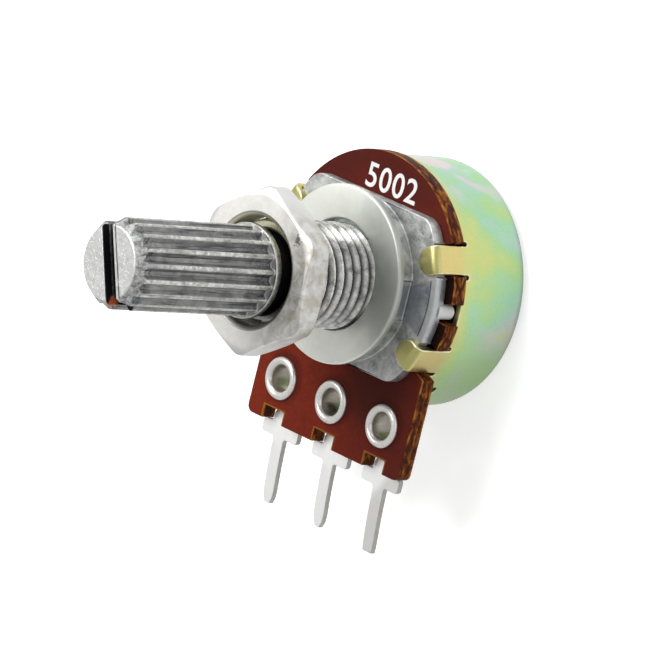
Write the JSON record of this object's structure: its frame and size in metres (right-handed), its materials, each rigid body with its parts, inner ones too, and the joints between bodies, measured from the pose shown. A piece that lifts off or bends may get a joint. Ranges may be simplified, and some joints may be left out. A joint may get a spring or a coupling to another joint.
{
  "type": "rotary potentiometer",
  "caption": "Panel-mount rotary potentiometer with a splined slotted shaft, threaded bushing with nut and washer, metal cover and solder terminals on a laminate board.",
  "frame": {"origin": "centre of the cover's closed flat back, on the shaft's axis", "axes": "+Z along the shaft to its tip, -Y towards the terminals, +X to the right when seen from the shaft's tip with the terminals down"},
  "size_m": [0.0168, 0.0256, 0.0295],
  "materials": {
    "bushing_plate": "die-cast zinc, bare and grey",
    "shaft": "die-cast zinc with bright crests",
    "hex_nut": "nickel plated steel",
    "flat_washer": "zinc plated steel, satin",
    "rear_cover": "drawn steel with iridescent yellow chromate",
    "element_board": "red-brown paper laminate, semi-gloss",
    "resistive_track": "printed carbon",
    "end_contact_left": "printed silver",
    "end_contact_right": "printed silver",
    "collector_track": "printed silver",
    "terminal_left": "brass with bright tin plating",
    "terminal_middle": "brass with bright tin plating",
    "terminal_right": "brass with bright tin plating",
    "eyelet_left": "brass with bright tin plating",
    "eyelet_middle": "brass with bright tin plating",
    "eyelet_right": "brass with bright tin plating",
    "rotor": "moulded phenolic",
    "wiper": "phosphor bronze spring sheet",
    "retaining_clip": "spring steel"
  },
  "bodies": {
    "housing": {"bushing_plate": "bushing_plate", "flat_washer": "flat_washer", "rear_cover": "rear_cover", "element_board": "element_board", "resistive_track": "resistive_track", "end_contact_left": "end_contact_left", "end_contact_right": "end_contact_right", "collector_track": "collector_track", "terminal_left": "terminal_left", "terminal_middle": "terminal_middle", "terminal_right": "terminal_right", "eyelet_left": "eyelet_left", "eyelet_middle": "eyelet_middle", "eyelet_right": "eyelet_right"},
    "spindle": {"shaft": "shaft", "rotor": "rotor", "wiper": "wiper", "retaining_clip": "retaining_clip"},
    "nut": {"hex_nut": "hex_nut"}
  },
  "joints": [
    {"name": "shaft_turn", "type": "hinge", "parent": "housing", "child": "spindle", "pos_m": [0, 0, 0.0125], "axis": [0, 0, 1], "range_deg": [-174, 126]},
    {"name": "nut_travel", "type": "slide", "parent": "housing", "child": "nut", "axis": [0, 0, 1], "range_m": [-0.0054, 0.0009]}
  ]
}
